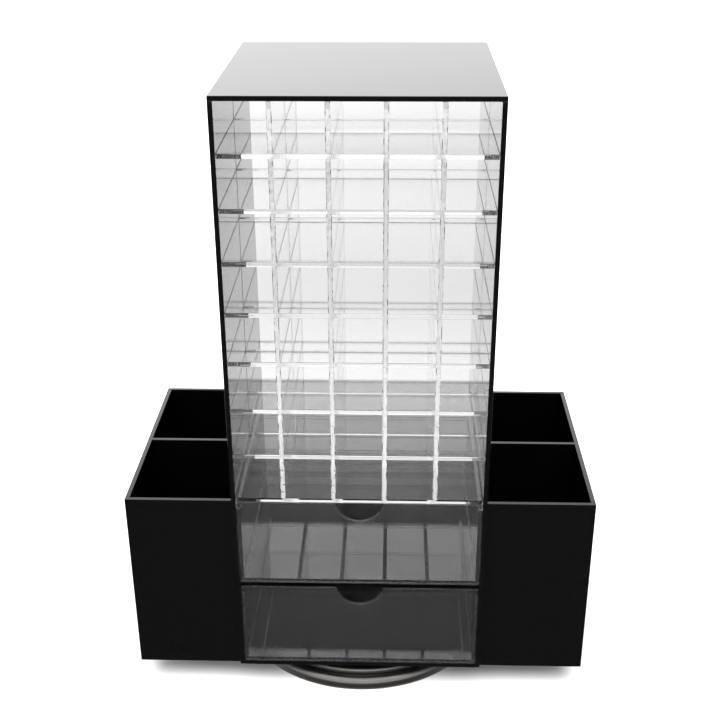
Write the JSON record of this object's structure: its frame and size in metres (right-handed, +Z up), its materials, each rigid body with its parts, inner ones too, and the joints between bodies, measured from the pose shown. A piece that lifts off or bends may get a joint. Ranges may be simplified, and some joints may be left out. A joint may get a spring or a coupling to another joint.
{
  "type": "rotating nail polish rack",
  "caption": "Tall acrylic bottle rack on a ball-bearing turntable, with open cells front and back, pull-out clear drawers and black side bins.",
  "frame": {"origin": "on the table, on the vertical axis of the turntable", "axes": "+Z up along the turntable's axis, -Y out of the drawer fronts, +X to the right as seen from the front"},
  "size_m": [0.406, 0.241, 0.5435],
  "materials": {
    "black_acrylic": "polished cast acrylic, opaque black",
    "clear_acrylic": "polished cast acrylic, water clear",
    "drawer_acrylic": "polished cast acrylic, water clear",
    "turntable_steel": "spun stainless steel",
    "zinc_steel": "zinc plated steel",
    "ball_steel": "polished bearing steel",
    "retainer_steel": "stamped steel strip",
    "foot_rubber": "moulded rubber"
  },
  "bodies": {
    "rack": {"left_side_panel": "black_acrylic", "right_side_panel": "black_acrylic", "top_panel": "black_acrylic", "base_panel": "black_acrylic", "bay_back_panel": "black_acrylic", "left_bin_front": "black_acrylic", "left_bin_back": "black_acrylic", "left_bin_outer_wall": "black_acrylic", "left_bin_bottom": "black_acrylic", "left_bin_divider": "black_acrylic", "right_bin_front": "black_acrylic", "right_bin_back": "black_acrylic", "right_bin_outer_wall": "black_acrylic", "right_bin_bottom": "black_acrylic", "right_bin_divider": "black_acrylic", "shelf_1": "clear_acrylic", "front_dividers_row_1": "clear_acrylic", "back_dividers_row_1": "clear_acrylic", "shelf_2": "clear_acrylic", "front_dividers_row_2": "clear_acrylic", "back_dividers_row_2": "clear_acrylic", "shelf_3": "clear_acrylic", "front_dividers_row_3": "clear_acrylic", "back_dividers_row_3": "clear_acrylic", "shelf_4": "clear_acrylic", "front_dividers_row_4": "clear_acrylic", "back_dividers_row_4": "clear_acrylic", "shelf_5": "clear_acrylic", "front_dividers_row_5": "clear_acrylic", "back_dividers_row_5": "clear_acrylic", "shelf_6": "clear_acrylic", "front_dividers_row_6": "clear_acrylic", "back_dividers_row_6": "clear_acrylic", "shelf_7": "clear_acrylic", "front_dividers_row_7": "clear_acrylic", "back_dividers_row_7": "clear_acrylic", "shelf_8": "clear_acrylic", "front_dividers_row_8": "clear_acrylic", "back_dividers_row_8": "clear_acrylic", "centre_panels": "clear_acrylic", "drawer_shelf": "clear_acrylic", "upper_drawer_rails": "clear_acrylic", "lower_drawer_rails": "clear_acrylic", "turntable_top_plate": "turntable_steel", "turntable_screws": "zinc_steel"},
    "upper_drawer": {"upper_drawer_front": "drawer_acrylic", "upper_drawer_back": "drawer_acrylic", "upper_drawer_left_side": "drawer_acrylic", "upper_drawer_right_side": "drawer_acrylic", "upper_drawer_bottom": "drawer_acrylic"},
    "lower_drawer": {"lower_drawer_front": "drawer_acrylic", "lower_drawer_back": "drawer_acrylic", "lower_drawer_left_side": "drawer_acrylic", "lower_drawer_right_side": "drawer_acrylic", "lower_drawer_bottom": "drawer_acrylic"},
    "turntable_base": {"turntable_dish": "turntable_steel", "pivot_rivet": "zinc_steel", "rubber_feet": "foot_rubber"},
    "ball_ring": {"bearing_balls": "ball_steel", "ball_retainer": "retainer_steel"}
  },
  "joints": [
    {"name": "turntable_spin", "type": "hinge", "parent": "turntable_base", "child": "rack", "pos_m": [0, 0, 0], "axis": [0, 0, 1], "continuous": true},
    {"name": "ball_orbit", "type": "hinge", "parent": "turntable_base", "child": "ball_ring", "pos_m": [0, 0, 0], "axis": [0, 0, 1], "continuous": true},
    {"name": "upper_drawer_slide", "type": "slide", "parent": "rack", "child": "upper_drawer", "axis": [0, -1, 0], "range_m": [0, 0.16]},
    {"name": "lower_drawer_slide", "type": "slide", "parent": "rack", "child": "lower_drawer", "axis": [0, -1, 0], "range_m": [0, 0.16]}
  ],
  "couplings": [
    {"joint": "ball_orbit", "follows": "turntable_spin", "ratio": 0.5}
  ]
}
